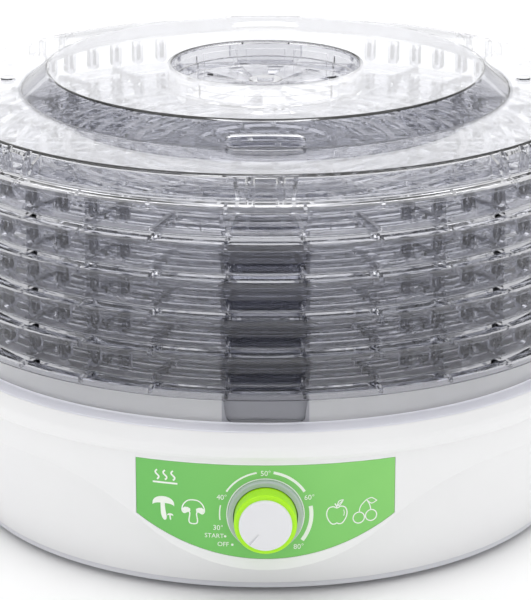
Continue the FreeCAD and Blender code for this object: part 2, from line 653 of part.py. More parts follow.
def base_deck():
    """Clear ring that carries the lowest tray, with its ledge, deck, outlet and grip pockets."""
    top_outer = WALL_TOP_RADIUS
    body = turned([
        (OUTLET_RADIUS, DECK_BOTTOM), (LEDGE_OUTER - 4.0, DECK_BOTTOM), (LEDGE_OUTER, LEDGE_LOW - 1.4),
        (LEDGE_OUTER, LEDGE_LOW, 0.6), (LEDGE_INNER, LEDGE_HIGH, 0.8), (top_outer, RING_TOP, 0.5),
        (top_outer - TRAY_WALL, RING_TOP, 0.5), (LEDGE_INNER - TRAY_WALL, DECK_TOP),
        (OUTLET_RADIUS, DECK_TOP)])
    foot = LEDGE_HIGH + 0.4
    shift = RING_TOP - WALL_TOP

    def pocket(grow, low, top, inside):
        corners = [
            (-POCKET_TOP_HALF - grow, top), (-POCKET_FOOT_HALF - grow, low, POCKET_CORNER),
            (POCKET_FOOT_HALF + grow, low, POCKET_CORNER), (POCKET_TOP_HALF + grow, top)]
        back = -WALL_TOP_RADIUS + POCKET_DEPTH + grow
        prism = front_prism(corners, -SKIRT_RADIUS, back)
        if inside:
            prism = prism.common(post(inside, 0, WALL_TOP + shift))
        return [prism, spun(prism, 180)]

    sunk = (DECK_BOTTOM + DECK_TOP) / 2
    body = body.fuse(pocket(TRAY_WALL, sunk, RING_TOP, LEDGE_INNER - TRAY_WALL / 2 + 0.2))
    body = body.cut(pocket(0, foot, RING_TOP + 1, None))
    places = ring_places(DECK_SCREW_RADIUS, DECK_SCREW_ANGLES)
    return body.cut([post(SCREW_RADIUS + 0.2, DECK_BOTTOM - 1, DECK_TOP + 1, x, y) for x, y in places])


def outlet_grille():
    """White grille over the warm-air outlet, with a rim that hangs into the deck's hole."""
    holes = []
    for index in range(5):
        inner = 12.0 + 9.0 * index
        count = 6 if index < 2 else 12
        for part in range(count):
            step = 360.0 / count
            holes.append(sector(inner, inner + 6.0, part * step, part * step + step, 3.0))
    disc = pierced_disc(OUTLET_RADIUS + 4, holes, DECK_TOP, 2.0)
    rim = tube(OUTLET_RADIUS - 2.0, OUTLET_RADIUS - 0.2, DECK_BOTTOM, DECK_TOP)
    return merged(disc, [rim])


def control_panel():
    """Green curved panel in the apron's recess."""
    sheet = panel_prism(0.15).common(tube(PANEL_FLOOR, PANEL_FACE, 0, BAND_BOTTOM))
    return sheet.cut(barrel(BUSH_RADIUS + BUSH_GAP, -DRUM_RADIUS - 2, -DRUM_RADIUS + 8, KNOB_HEIGHT))


def dial_ring():
    """Grey ring round the knob, shaped to the curved panel behind it."""
    front = -(DRUM_RADIUS + 2.5)
    ring = barrel(DIAL_RADIUS, front, -(DRUM_RADIUS - 3), KNOB_HEIGHT)
    ring = ring.makeFillet(0.7, [edge for edge in ring.Edges if abs(edge.CenterOfMass.y - front) < 0.01])
    ring = ring.cut(barrel(KNOB_RADIUS + 0.4, front - 1, -(DRUM_RADIUS - 4), KNOB_HEIGHT))
    return ring.cut(post(PANEL_FACE + 0.02, 0, BAND_BOTTOM))


def thermostat_body():
    """Thermostat with a threaded bush that passes through the panel."""
    back = BRACKET_FRONT + BRACKET_SHEET
    body = block(-13, 13, back, back + 13, KNOB_HEIGHT - 12, KNOB_HEIGHT + 12)
    body = body.makeFillet(1.0, [edge for edge in body.Edges if abs(edge.CenterOfMass.y - back - 13) < 0.01])
    bush = barrel(BUSH_RADIUS, BUSH_FRONT, back, KNOB_HEIGHT)
    blades = [block(x - 3, x + 3, back + 13, back + 20, KNOB_HEIGHT - 0.4, KNOB_HEIGHT + 0.4)
              for x in (-7, 7)]
    body = merged(body, [bush] + blades)
    return body.cut(barrel(3.0 + RUNNING_FIT, BUSH_FRONT - 1, back + 6, KNOB_HEIGHT))


def thermostat_bracket():
    """Steel strip that holds the thermostat against two bosses behind the panel."""
    strip = block(-BRACKET_SCREW_X - 5, BRACKET_SCREW_X + 5, BRACKET_FRONT, BRACKET_FRONT + BRACKET_SHEET,
                  KNOB_HEIGHT - 8, KNOB_HEIGHT + 8)
    cuts = [barrel(BUSH_RADIUS + 0.1, BRACKET_FRONT - 1, BRACKET_FRONT + 3, KNOB_HEIGHT)]
    for side in (-1, 1):
        cuts.append(barrel(SCREW_RADIUS + SCREW_FIT, BRACKET_FRONT - 1, BRACKET_FRONT + 3, KNOB_HEIGHT,
                           side * BRACKET_SCREW_X))
    return strip.cut(cuts)


def bracket_screws():
    """Two screws through the strip into the bosses."""
    solids = []
    seat = BRACKET_FRONT + BRACKET_SHEET
    for side in (-1, 1):
        head = barrel(SCREW_HEAD - 0.7, seat, seat + SCREW_HEAD_HEIGHT, KNOB_HEIGHT, side * BRACKET_SCREW_X)
        shank = barrel(SCREW_RADIUS, seat - 4.4, seat, KNOB_HEIGHT, side * BRACKET_SCREW_X)
        solids.append(head.fuse(shank).removeSplitter())
    return Part.makeCompound(solids)


def thermostat_nut():
    """Hexagon nut on the bush, in front of the panel."""
    front = -(DRUM_RADIUS + 2.2)
    corners = [(7.4 * math.cos(math.radians(60 * k)), KNOB_HEIGHT + 7.4 * math.sin(math.radians(60 * k)))
               for k in range(6)]
    nut = front_prism(corners, front, -(DRUM_RADIUS - 0.05))
    return nut.cut(barrel(BUSH_RADIUS + FIXED_FIT, front - 1, -DRUM_RADIUS + 2, KNOB_HEIGHT))


def thermostat_shaft():
    """Shaft of the thermostat, which turns with the knob."""
    return barrel(3.0, -(DRUM_RADIUS + KNOB_REACH - 4.2), BRACKET_FRONT + BRACKET_SHEET + 5, KNOB_HEIGHT)


def knob_skirt():
    """Hollow green body of the knob with a hub on the shaft and a recess for the cap."""
    back = -(DRUM_RADIUS + 1.6)
    front = -(DRUM_RADIUS + KNOB_REACH - 1.8)
    body = barrel(KNOB_RADIUS, front, back, KNOB_HEIGHT)
    body = body.makeFillet(0.8, [edge for edge in body.Edges if abs(edge.CenterOfMass.y - front) < 0.01])
    hollow = barrel(KNOB_RADIUS - 1.8, front + 4.0, back + 1, KNOB_HEIGHT)
    hub = barrel(5.6, front + 3.0, BUSH_FRONT - 0.5, KNOB_HEIGHT)
    body = body.cut(hollow).fuse(hub)
    recess = barrel(CAP_RADIUS + FIXED_FIT, front - 1, front + 1.6, KNOB_HEIGHT)
    bore = barrel(3.0 + FIXED_FIT, front + 2.2, back + 1, KNOB_HEIGHT)
    return body.cut([recess, bore]).removeSplitter()


def knob_cap():
    """White face of the knob with its pointer groove, pointing at off."""
    face = -(DRUM_RADIUS + KNOB_REACH)
    cap = barrel(CAP_RADIUS, face, face + 3.4, KNOB_HEIGHT)
    cap = cap.makeFillet(0.9, [edge for edge in cap.Edges if abs(edge.CenterOfMass.y - face) < 0.01])
    groove = block(CAP_RADIUS * 0.42, CAP_RADIUS * 0.93, face - 1, face + 0.5, -0.45, 0.45)
    groove.rotate(CENTRE, Vector(0, -1, 0), OFF_ANGLE)
    groove.translate(Vector(0, 0, KNOB_HEIGHT))
    return cap.cut(groove)


# ---- motor and fan ------------------------------------------------------------------------------
def motor_stator():
    """Laminated core with the rotor's bore, a window for the coil and two screw holes."""
    core = block(-STATOR_HALF, STATOR_HALF, -STATOR_FRONT, STATOR_REAR, STATOR_LOW, STATOR_TOP)
    window = block(-18, 18, STATOR_REAR - 27, STATOR_REAR - 12, STATOR_LOW - 1, STATOR_TOP + 1)
    cuts = [window, post(ROTOR_RADIUS + AIR_GAP, STATOR_LOW - 1, STATOR_TOP + 1)]
    for side in (-1, 1):
        cuts.append(post(SCREW_RADIUS + 0.2, STATOR_LOW - 1, STATOR_TOP + 1, side * MOTOR_SCREW_X))
    return core.cut(cuts)


def motor_coil():
    """Winding round the rear limb of the core."""
    limb_front = STATOR_REAR - 12
    coil = block(-17.6, 17.6, limb_front - 8, STATOR_REAR + 8, STATOR_LOW - 8, STATOR_TOP + 8)
    coil = coil.makeFillet(3.0, [edge for edge in coil.Edges if abs(edge.tangentAt(0).x) > 0.9])
    return coil.cut(block(-20, 20, limb_front - 0.2, STATOR_REAR + 0.2, STATOR_LOW - 0.2, STATOR_TOP + 0.2))


def motor_bracket(bottom):
    """Steel strip across the stator with a bearing seat in its middle."""
    strip = block(-MOTOR_SCREW_X - 6, MOTOR_SCREW_X + 6, -8, 8, bottom, bottom + BRACKET_SHEET)
    cuts = [post(5.0 + FIXED_FIT, bottom - 1, bottom + 3)]
    for side in (-1, 1):
        cuts.append(post(SCREW_RADIUS + 0.2, bottom - 1, bottom + 3, side * MOTOR_SCREW_X))
    return strip.cut(cuts)


def motor_bushes():
    """Two bronze bushes, flanged on the rotor's side of their brackets."""
    low = tube(SHAFT_RADIUS + RUNNING_FIT, 5.0, BRACKET_LOW - 2, BRACKET_LOW + BRACKET_SHEET)
    low = low.fuse(tube(SHAFT_RADIUS + RUNNING_FIT, 6.0, BRACKET_LOW + BRACKET_SHEET,
                        BRACKET_LOW + BRACKET_SHEET + 1.5))
    high = tube(SHAFT_RADIUS + RUNNING_FIT, 5.0, BRACKET_HIGH, BRACKET_HIGH + BRACKET_SHEET + 2)
    high = high.fuse(tube(SHAFT_RADIUS + RUNNING_FIT, 6.0, BRACKET_HIGH - 1.5, BRACKET_HIGH))
    return Part.makeCompound([low.removeSplitter(), high.removeSplitter()])


def motor_spacers():
    """Four sleeves between the core and its brackets."""
    sleeves = []
    for side in (-1, 1):
        for bottom in (STATOR_LOW - SPACER_HEIGHT, STATOR_TOP):
            sleeve = post(4.0, bottom, bottom + SPACER_HEIGHT, side * MOTOR_SCREW_X)
            sleeves.append(sleeve.cut(post(SCREW_RADIUS + 0.2, bottom - 1, bottom + 5, side * MOTOR_SCREW_X)))
    return Part.makeCompound(sleeves)


def fan_shaft():
    """Upright shaft of the motor and fan."""
    return post(SHAFT_RADIUS, BRACKET_LOW - 3, FAN_LOW + FAN_HEIGHT + 3)


def rotor_core():
    """Rotor on the shaft, inside the stator's bore."""
    return tube(SHAFT_RADIUS + FIXED_FIT, ROTOR_RADIUS, STATOR_LOW, STATOR_TOP)


def fan_impeller():
    """Axial fan: hub and pitched blades, trimmed to a true circle."""
    top = FAN_LOW + FAN_HEIGHT
    bore = SHAFT_RADIUS + FIXED_FIT
    hub = turned([(bore, FAN_LOW), (10.0, FAN_LOW), (10.0, top, 2.0), (bore, top)])
    blade = block(-11, 11, -FAN_RADIUS, -8, -0.8, 0.8)
    blade.rotate(CENTRE, Vector(0, 1, 0), 24)
    blade.translate(Vector(0, 0, FAN_LOW + FAN_HEIGHT / 2))
    blade = blade.common(tube(8.0, FAN_RADIUS, FAN_LOW, top))
    return merged(hub, [spun(blade, index * 360.0 / FAN_BLADES) for index in range(FAN_BLADES)])


def fan_clip():
    """Push-on ring that keeps the fan on its shaft."""
    top = FAN_LOW + FAN_HEIGHT
    return tube(SHAFT_RADIUS + FIXED_FIT, 4.4, top, top + 1.0)


# ---- heater -------------------------------------------------------------------------------------
def heat_shield():
    """Sheet duct round the fan and the heater, with a flange on three posts."""
    top = DECK_BOTTOM - 1.2
    duct = turned([
        (SHIELD_RADIUS, SHIELD_LOW), (SHIELD_RADIUS + SHIELD_FLANGE, SHIELD_LOW),
        (SHIELD_RADIUS + SHIELD_FLANGE, SHIELD_LOW + SHIELD_SHEET),
        (SHIELD_RADIUS + SHIELD_SHEET, SHIELD_LOW + SHIELD_SHEET), (SHIELD_RADIUS + SHIELD_SHEET, top),
        (SHIELD_RADIUS, top)])
    places = ring_places(SHIELD_POST_RADIUS, SHIELD_POST_ANGLES)
    return duct.cut([post(SCREW_RADIUS + 0.2, SHIELD_LOW - 1, SHIELD_LOW + 3, x, y) for x, y in places])


def coil_rings(wire):
    """Three heater rings, or the holes for them, by the radius of the wire."""
    height = HEATER_LOW + HEATER_HEIGHT / 2
    return [Part.makeTorus(radius, wire, Vector(0, 0, height), AXIS) for radius in COIL_RADII]


def heater_frame():
    """Cross of mica plates that carries the heater rings inside the duct."""
    reach = SHIELD_RADIUS - 0.2
    arm = block(-MICA / 2, MICA / 2, -reach, reach, HEATER_LOW, HEATER_LOW + HEATER_HEIGHT)
    cross = merged(arm, [spun(arm, 60), spun(arm, 120)])
    return cross.cut(coil_rings(COIL_WIRE + 0.2))


def thermal_fuse():
    """Thermal fuse with its sleeve, on the outside of the duct."""
    centre = SHIELD_RADIUS + SHIELD_SHEET + 2.3
    fuse = Part.makeCylinder(2.0, 14.0, Vector(centre, -7, 66), Vector(0, 1, 0))
    clip = block(centre - 2.0, centre + 2.6, -2.0, 2.0, 63.6, 68.4)
    return merged(fuse, [clip])


def terminal_block():
    """Three-way terminal block on the bottom plate."""
    body = block(86, 104, 52, 64, SHELL_LOW, SHELL_LOW + 12)
    wells = [post(2.0, SHELL_LOW + 5, SHELL_LOW + 13, 89.5 + 5.5 * index, 58) for index in range(3)]
    return body.cut(wells)


def cord_gland():
    """Gland in the rear wall that a mains cord would pass through."""
    wall = DRUM_RADIUS - SHELL_WALL - 6
    barrel_part = barrel(GLAND_RADIUS, wall, DRUM_RADIUS + 2, GLAND_HEIGHT)
    flange = barrel(GLAND_RADIUS + 3, DRUM_RADIUS - 8, DRUM_RADIUS + 1.2, GLAND_HEIGHT)
    flange = flange.cut(bowl(-0.05, SHELL_LOW))
    gland = merged(barrel_part, [flange])
    return gland.cut(barrel(3.6, wall - 1, DRUM_RADIUS + 4, GLAND_HEIGHT))


# ---- every node ---------------------------------------------------------------------------------
os.makedirs("parts", exist_ok=True)

save("base_shell", base_shell())
save("bottom_plate", bottom_plate())
save("rubber_feet", rubber_feet())
save("bottom_screws", screws(
    ring_places(BOSS_RADIUS, CORNER_ANGLES), FOOT_HEIGHT + SCREW_HEAD_HEIGHT - 0.2, 20.0, True))
save("base_deck", base_deck())
save("deck_screws", screws(ring_places(DECK_SCREW_RADIUS, DECK_SCREW_ANGLES), DECK_TOP, DECK_TOP - 10, False))
save("outlet_grille", outlet_grille())
save("control_panel", control_panel())
save("dial_ring", dial_ring())
save("thermostat_body", thermostat_body())
save("thermostat_bracket", thermostat_bracket())
save("bracket_screws", bracket_screws())
save("thermostat_nut", thermostat_nut())
save("thermostat_shaft", thermostat_shaft())
save("knob_skirt", knob_skirt())
save("knob_cap", knob_cap())
save("motor_stator", motor_stator())
save("motor_coil", motor_coil())
save("motor_upper_bracket", motor_bracket(BRACKET_HIGH))
save("motor_lower_bracket", motor_bracket(BRACKET_LOW))
save("motor_bushes", motor_bushes())
save("motor_spacers", motor_spacers())
save("motor_screws", screws(
    [(-MOTOR_SCREW_X, 0), (MOTOR_SCREW_X, 0)], BRACKET_HIGH + BRACKET_SHEET, BRACKET_LOW - 8, False))
save("rotor_core", rotor_core())
save("fan_shaft", fan_shaft())
save("fan_impeller", fan_impeller())
save("fan_clip", fan_clip())
save("heat_shield", heat_shield())
save("shield_screws", screws(
    ring_places(SHIELD_POST_RADIUS, SHIELD_POST_ANGLES), SHIELD_LOW + SHIELD_SHEET, SHIELD_LOW - 8, False))
save("heater_frame", heater_frame())
save("heater_coil", Part.makeCompound(coil_rings(COIL_WIRE)))
save("thermal_fuse", thermal_fuse())
save("terminal_block", terminal_block())
save("cord_gland", cord_gland())

one_tray = tray()
for level in range(TRAY_COUNT):
    save("tray_" + str(level + 1), raised(one_tray, FIRST_SEAM + TRAY_PITCH * level))
save("lid", raised(lid(), LID_SEAM))
save("vent_damper", raised(vent_damper(), LID_SEAM))
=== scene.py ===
import math

import bpy
import numpy as np
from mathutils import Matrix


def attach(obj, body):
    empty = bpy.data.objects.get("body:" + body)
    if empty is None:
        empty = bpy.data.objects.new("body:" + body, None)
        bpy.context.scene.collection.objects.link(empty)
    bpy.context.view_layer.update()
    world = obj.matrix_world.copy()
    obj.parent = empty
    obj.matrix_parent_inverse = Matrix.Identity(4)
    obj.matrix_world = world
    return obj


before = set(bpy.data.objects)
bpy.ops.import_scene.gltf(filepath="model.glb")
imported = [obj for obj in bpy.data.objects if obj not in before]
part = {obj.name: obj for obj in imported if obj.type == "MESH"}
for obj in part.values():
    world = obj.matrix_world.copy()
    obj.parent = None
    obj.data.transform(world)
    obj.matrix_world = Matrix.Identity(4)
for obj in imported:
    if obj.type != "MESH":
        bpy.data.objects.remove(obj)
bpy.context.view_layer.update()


# ---- White base shell ---------------------------------------------------------------------------
# One injection moulding in glossy white ABS: lower body, drum with its apron, band and closed top.
# It stands on the bottom plate and is held by screws from below. A fine spark texture shows close up.
class Signal:
    """A number running through a material; Python's operators on it add Math nodes."""

    def __init__(self, socket):
        self.socket = socket

    def maths(self, operation, first, second=None):
        node = self.socket.id_data.nodes.new("ShaderNodeMath")
        node.operation = operation
        for socket, value in zip(node.inputs, (first, second)):
            join(socket, value)
        return Signal(node.outputs[0])

    def __add__(self, other):
        return self.maths("ADD", self, other)

    def __radd__(self, other):
        return self.maths("ADD", other, self)

    def __sub__(self, other):
        return self.maths("SUBTRACT", self, other)

    def __rsub__(self, other):
        return self.maths("SUBTRACT", other, self)

    def __mul__(self, other):
        return self.maths("MULTIPLY", self, other)

    def __rmul__(self, other):
        return self.maths("MULTIPLY", other, self)

    def __truediv__(self, other):
        return self.maths("DIVIDE", self, other)

    def __pow__(self, other):
        return self.maths("POWER", self, other)

    def above(self, other):
        return self.maths("GREATER_THAN", self, other)

    def held(self):
        """The same number, kept between 0 and 1."""
        node = (self + 0.0).socket.node
        node.use_clamp = True
        return Signal(node.outputs[0])


def join(socket, value):
    """Feeds a socket from a number, a colour, a link or a Signal."""
    if value is None:
        return
    if isinstance(value, Signal):
        value = value.socket
    if isinstance(value, bpy.types.NodeSocket):
        socket.id_data.links.new(value, socket)
    else:
        socket.default_value = value


class Finish:
    """A material being made up from nodes."""

    def __init__(self, name):
        self.material = bpy.data.materials.new(name)
        self.material.use_nodes = True
        self.tree = self.material.node_tree
        self.tree.nodes.clear()

    def add(self, kind, settings=None, sockets=None):
        """Adds a node: its settings first, then the values or links of its sockets."""
        node = self.tree.nodes.new("ShaderNode" + kind)
        for name, value in (settings or {}).items():
            setattr(node, name, value)
        for name, value in (sockets or {}).items():
            join(node.inputs[name], value)
        return node

    def speckle(self, scale, detail=2.0, stretch=(1, 1, 1)):
        """Noise on Object coordinates as a Signal, about 0 to 1."""
        place = self.add("TexCoord").outputs["Object"]
        if stretch != (1, 1, 1):
            place = self.add("Mapping", None, {"Vector": place, "Scale": stretch}).outputs["Vector"]
        noise = self.add("TexNoise", None, {"Vector": place, "Scale": scale, "Detail": detail})
        return Signal(noise.outputs["Fac"])

    def blended(self, share, first, second):
        """Colour that runs from first to second as share goes from 0 to 1."""
        mix = self.add("Mix", {"data_type": "RGBA"})
        join(mix.inputs[0], share)
        join(mix.inputs[6], first)
        join(mix.inputs[7], second)
        return mix.outputs[2]

    def relief(self, height, distance):
        """The normal of a surface that is raised by height times distance, in metres."""
        bump = self.add("Bump", None, {"Height": height, "Distance": distance, "Strength": 1.0})
        return bump.outputs["Normal"]

    def surface(self, sockets):
        """A Principled shader with the sockets given."""
        return self.add("BsdfPrincipled", None, sockets).outputs[0]

    def done(self, shader):
        """Ends the node tree in the shader and gives the material."""
        self.add("OutputMaterial", None, {"Surface": shader})
        return self.material


def colour(red, green, blue):
    """Linear colour from the 0 to 255 values of a paint chart."""
    chart = np.array([red, green, blue]) / 255.0
    linear = np.where(chart <= 0.04045, chart / 12.92, ((chart + 0.055) / 1.055) ** 2.4)
    return (*map(float, linear), 1.0)


def dress(nodes, material):
    """Gives CAD nodes a finish in every one of their material slots."""
    for name in nodes:
        for index in range(len(part[name].material_slots)):
            part[name].material_slots[index].material = material


def moulded(name, pale, dark, shine, grain, coat=0.0):
    """Moulded plastic: cloudy colour, a shine that varies a little, and a fine spark-eroded grain."""
    finish = Finish(name)
    cloud = finish.speckle(9.0, 3.0)
    patch = finish.speckle(60.0, 2.0)
    spark = finish.speckle(1900.0, 1.0)
    return finish.done(finish.surface({
        "Base Color": finish.blended(((cloud - 0.35) * 1.8).held(), dark, pale),
        "Roughness": (shine + (patch - 0.5) * 0.12).held(),
        "Coat Weight": coat, "Coat Roughness": 0.12,
        "Normal": finish.relief(spark, grain)}))


dress(["base_shell"], moulded(
    "shell_abs", colour(244, 244, 244), colour(238, 238, 239), 0.34, 0.00001, 0.25))


# ---- Bottom plate, feet and screws --------------------------------------------------------------
# The plate closes the shell from below; four soft rubber feet are pushed through it. Plated steel
# self-tapping screws with pan heads hold the plate, the deck, the thermostat bracket and the duct.
dress(["bottom_plate"], moulded(
    "plate_abs", colour(226, 227, 231), colour(217, 218, 224), 0.5, 0.00003))
dress(["rubber_feet"], moulded(
    "rubber_soft", colour(62, 62, 66), colour(44, 44, 48), 0.78, 0.00004))


def metal(name, bright, dull, shine, scratches, stretch):
    """Worked metal: fine marks along one direction and darker stains in between."""
    finish = Finish(name)
    marks = finish.speckle(scratches, 3.0, stretch)
    stain = finish.speckle(45.0, 3.0)
    return finish.done(finish.surface({
        "Base Color": finish.blended((stain * 0.7 + marks * 0.3).held(), dull, bright),
        "Metallic": 1.0,
        "Roughness": (shine + (marks - 0.5) * 0.2).held(),
        "Normal": finish.relief(marks, 0.00002)}))


screw_steel = metal("screw_steel", colour(214, 216, 220), colour(150, 153, 160), 0.32, 900.0, (1, 1, 1))
dress(["bottom_screws", "deck_screws", "bracket_screws", "shield_screws", "motor_screws"], screw_steel)


# ---- Trays ---------------------------------------------------------------------------------------
# Moulded in clear grey-tinted SAN. Each wall lets most light through and keeps a little of it, so the
# stack gets greyer with every layer; ribs, hollow bars and the grip pockets' walls take painted shade.
class Place:
    """Where on the object a point of the surface is, as Signals in metres."""

    def __init__(self, finish):
        axes = finish.add("SeparateXYZ", None, {0: finish.add("TexCoord").outputs["Object"]})
        self.across = Signal(axes.outputs["X"])
        self.depth = Signal(axes.outputs["Y"])
        self.height = Signal(axes.outputs["Z"])
        self.radius = (self.across * self.across + self.depth * self.depth) ** 0.5


def between(value, low, high):
    """1 where the value lies between low and high, otherwise 0."""
    return value.above(low) * (1 - value.above(high))


def clear_plastic(name, tint, cloudy, zones, clear=1.0):
    """Clear plastic: light bends into it, takes the tint of every face that it crosses, and comes out.

    A wall seen flat stays light, while a bend or an edge passes light many times and turns dark.
    Each zone picks out a part of the piece, and that part takes the zone's own tint: painted shade where
    it is darker, painted light where it is lighter. A clear of less than 1 is milky.
    """
    finish = Finish(name)
    flow = finish.speckle(26.0, 2.0)
    grain = finish.speckle(140.0, 2.0)
    tone = finish.blended(flow, tint, cloudy)
    place = Place(finish)
    for zone, zone_painted_light in zones:
        tone = finish.blended(zone(place).held(), tone, zone_painted_light)
    return finish, finish.surface({
        "Base Color": tone, "Roughness": (0.02 + (grain - 0.5) * 0.02).held(),
        "IOR": 1.42, "Transmission Weight": clear})


pocket_side = 0.0188
first_floor = 0.0974
tray_pitch = 0.0166


def pocket_walls(place):
    """The grip pockets' walls, near the middle line at front and rear, inside the skirts."""
    return between(place.across, -pocket_side, pocket_side) * between(place.radius, 0.148, 0.1572)


def ribs_and_bars(place):
    """The radial ribs and the hollow bars: all that stands above a tray's floor inside its wall."""
    level = place.height.maths("FLOORED_MODULO", place.height - first_floor, tray_pitch)
    return between(place.radius, 0.128, 0.1546) * level.above(0.0046)


def dress_trays(name, nodes, pocket_painted_shade):
    """Gives trays their clear plastic: ribs and bars take a dark painted shade, pockets the painted shade given.
    """
    finish, shader = clear_plastic(
        name, (0.735, 0.74, 0.768, 1), (0.68, 0.685, 0.718, 1),
        [(ribs_and_bars, painted_shade_dark), (pocket_walls, pocket_painted_shade)])
    dress(nodes, finish.done(shader))


# Painted shade: a dark tint for the ribs, the bars and the lower trays' pockets' walls.
painted_shade_dark = (0.27, 0.275, 0.315, 1)
dress_trays("tray_clear", ["tray_1", "tray_2", "tray_3", "tray_4"], painted_shade_dark)
# The top tray's pockets take a lighter painted shade than the trays below, as more light reaches it.
dress_trays("top_tray_clear", ["tray_5"], (0.62, 0.625, 0.66, 1))


# ---- Deck ring -------------------------------------------------------------------------------------
# The same plastic, but milkier, over the shell's white top. Its sloping ledge, which rests on the
# shell's rim, is frosted nearly white. Above its top, the pockets' walls take a painted shade.
deck_top = 0.0846
ledge_inner = 0.1531
ledge_top = 0.0845
finish, shader = clear_plastic(
    "deck_clear", (0.97, 0.972, 0.995, 1), (0.93, 0.935, 0.965, 1),
    # Painted shade: the pockets' walls above the deck's top take a darker tint.
    [(lambda place: pocket_walls(place) * place.height.above(deck_top), (0.6, 0.605, 0.66, 1))],
    clear=0.6)
frosted = finish.surface({
    "Base Color": finish.blended(finish.speckle(50.0), colour(248, 248, 255), colour(241, 242, 252)),
    "Roughness": (0.3 + (finish.speckle(140.0) - 0.5) * 0.1).held()})
place = Place(finish)
ledge = place.radius.above(ledge_inner) * (1 - place.height.above(ledge_top))
both = finish.add("MixShader", None, {0: ledge.held(), 1: shader, 2: frosted})
dress(["base_deck"], finish.done(both.outputs[0]))


# ---- Lid and vent damper -----------------------------------------------------------------------------
# The lid is the clearest piece: light comes off its flat top and passes its flange. The slope under
# the disc takes a darker tint, painted shade, and the vent cup a lighter one, painted light. The damper
# turns in the vent cup.
def disc_slope(place):
    """The slope between the disc's edge and the flange."""
    return between(place.radius, 0.1018, 0.1152)


def cup_walls(place):
    """The vent cup with all that is in it."""
    return 1 - place.radius.above(0.0462)


# The slope's darker tint is painted shade; the vent cup's lighter tint is painted light.
for node in ("lid", "vent_damper"):
    finish, shader = clear_plastic(
        node + "_clear", (0.89, 0.893, 0.908, 1), (0.86, 0.863, 0.882, 1),
        [(disc_slope, (0.55, 0.555, 0.595, 1)), (cup_walls, (0.975, 0.975, 0.982, 1))])
    dress([node], finish.done(shader))


# ---- Outlet grille and cord gland ----------------------------------------------------------------
# Two small mouldings: the white grille that covers the warm-air outlet, and the grey gland at the back.
dress(["outlet_grille"], moulded(
    "grille_abs", colour(236, 237, 241), colour(226, 227, 233), 0.42, 0.00002))
dress(["cord_gland"], moulded(
    "gland_nylon", colour(212, 213, 218), colour(198, 199, 206), 0.55, 0.00003))


# ---- Control panel -------------------------------------------------------------------------------
# A green polycarbonate plate let into the front of the drum, lacquered, with painted light that makes
# it lighter towards its right side and upwards. Its marks are screen-printed in white on the curved face.
panel_half_width = 0.056


def panel_finish():
    """Lacquered green with faint clouds in it, made lighter to the right and upwards by painted light."""
    finish = Finish("panel_green")
    place = Place(finish)
    # Painted light: the green gets lighter to the right and upwards.
    share = (
        (place.across + panel_half_width) / (2 * panel_half_width) + (place.height - 0.045) * 5.0).held()
    cloud = finish.speckle(38.0, 3.0)
    grain = finish.speckle(1500.0, 1.0)
    base = finish.blended(share, colour(104, 192, 88), colour(136, 212, 108))
    shade = finish.blended(((cloud - 0.4) * 0.8).held(), base, colour(116, 200, 96))
    return finish.done(finish.surface({
        "Base Color": shade, "Roughness": (0.38 + (cloud - 0.5) * 0.15).held(),
        "Coat Weight": 0.3, "Coat Roughness": 0.1, "Normal": finish.relief(grain, 0.000008)}))


dress(["control_panel"], panel_finish())

panel_radius = 0.1589
ink_height = 0.00006
film_thickness = 0.00004


def printing_ink(name, tone):
    """Screen ink: nearly flat white that thins out in tiny pinholes."""
    finish = Finish(name)
    holes = finish.speckle(2600.0, 1.0)
    cloud = finish.speckle(300.0, 2.0)
    return finish.done(finish.surface({
        "Base Color": finish.blended((cloud * 0.5).held(), tone, colour(222, 240, 214)),
        "Roughness": (0.5 + (cloud - 0.5) * 0.2).held(), "Normal": finish.relief(holes, 0.000006)}))


white_ink = printing_ink("ink_white", colour(250, 252, 247))


def on_panel(across, up):
    """Points on the panel's curved face, in metres, from millimetres along it and above the table.

    Across is laid round a cylinder: its angle is the length divided by the panel's radius.
    """
    angle = np.asarray(across) * 0.001 / panel_radius
    radius = panel_radius + ink_height
    return np.stack([
        radius * np.sin(angle), -radius * np.cos(angle), np.asarray(up) * 0.001 + 0 * angle], axis=-1)


def patch_between(lower, upper, rows=3):
    """A printed patch: its points lie a share of the way from a lower line to an upper one."""
    share = np.linspace(0, 1, rows)[:, None, None]
    grid = np.asarray(lower)[None] * (1 - share) + np.asarray(upper)[None] * share
    count = grid.shape[1]
    corner = (np.arange(rows - 1)[:, None] * count + np.arange(count - 1)[None]).ravel()
    faces = np.stack([corner, corner + 1, corner + 1 + count, corner + count], axis=1)
    return grid.reshape(-1, 2), faces


def line_of(points, width):
    """A printed line of one width: its two sides stand half the width off the path, square to it."""
    points = np.asarray(points, float)
    along = np.gradient(points, axis=0)
    along /= np.linalg.norm(along, axis=1)[:, None] + 1e-12
    beside = np.stack([-along[:, 1], along[:, 0]], axis=1) * width / 2
    return patch_between(points - beside, points + beside, 2)


def curve_through(points, count=40, closed=False):
    """A smooth path: the Catmull-Rom cubic through its points, for all its parameters at once."""
    points = np.asarray(points, float)
    if closed:
        padded = np.concatenate([points[-1:], points, points[:2]])
        spans = len(points)
    else:
        padded = np.concatenate([2 * points[:1] - points[1:2], points, 2 * points[-1:] - points[-2:-1]])
        spans = len(points) - 1
    where = np.linspace(0, spans - 1e-9, count * spans // 4 + 8)
    first = where.astype(int)
    share = (where - first)[:, None]
    before, start, end, after = (padded[first + step] for step in range(4))
    return 0.5 * (
        2 * start + (end - before) * share + (2 * before - 5 * start + 4 * end - after) * share ** 2
        + (3 * start - before - 3 * end + after) * share ** 3)


